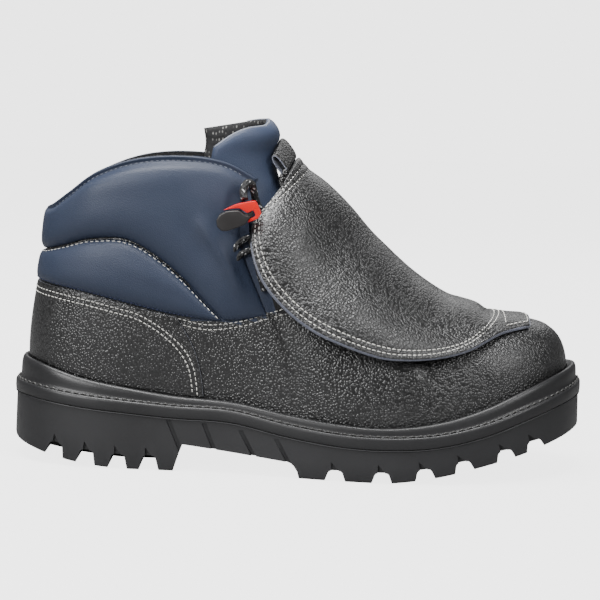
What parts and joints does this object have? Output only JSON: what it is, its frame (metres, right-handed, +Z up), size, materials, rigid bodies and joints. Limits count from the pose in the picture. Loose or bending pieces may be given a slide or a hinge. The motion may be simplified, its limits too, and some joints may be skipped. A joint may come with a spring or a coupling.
{
  "type": "safety shoe",
  "caption": "Ankle-high work shoe with a lugged sole, padded collar and tongue, a quick-release lace clip and a leather guard over the instep.",
  "frame": {"origin": "on the floor under the middle of the heel's tread", "axes": "+X from heel to toe, -Y to the outer side of the foot, +Z up"},
  "size_m": [0.3115, 0.118, 0.1879],
  "materials": {
    "tread_rubber": "matte",
    "rim_rubber": "satin",
    "footbed_felt": "matte",
    "grained_leather": "grained satin",
    "navy_leather": "smooth satin",
    "clip_red": "gloss",
    "clip_black": "satin",
    "cord_black": "braided"
  },
  "bodies": {
    "root": {"outsole": "tread_rubber", "midsole": "rim_rubber", "insole": "footbed_felt", "upper": "grained_leather", "rear_quarter": "grained_leather", "collar_pad_lower": "navy_leather", "collar_pad_upper": "navy_leather", "tongue": "navy_leather", "metatarsal_guard": "grained_leather", "pull_loop": "grained_leather", "clip_frame": "clip_red", "clip_lever": "clip_black", "lace": "cord_black"}
  },
  "joints": []
}
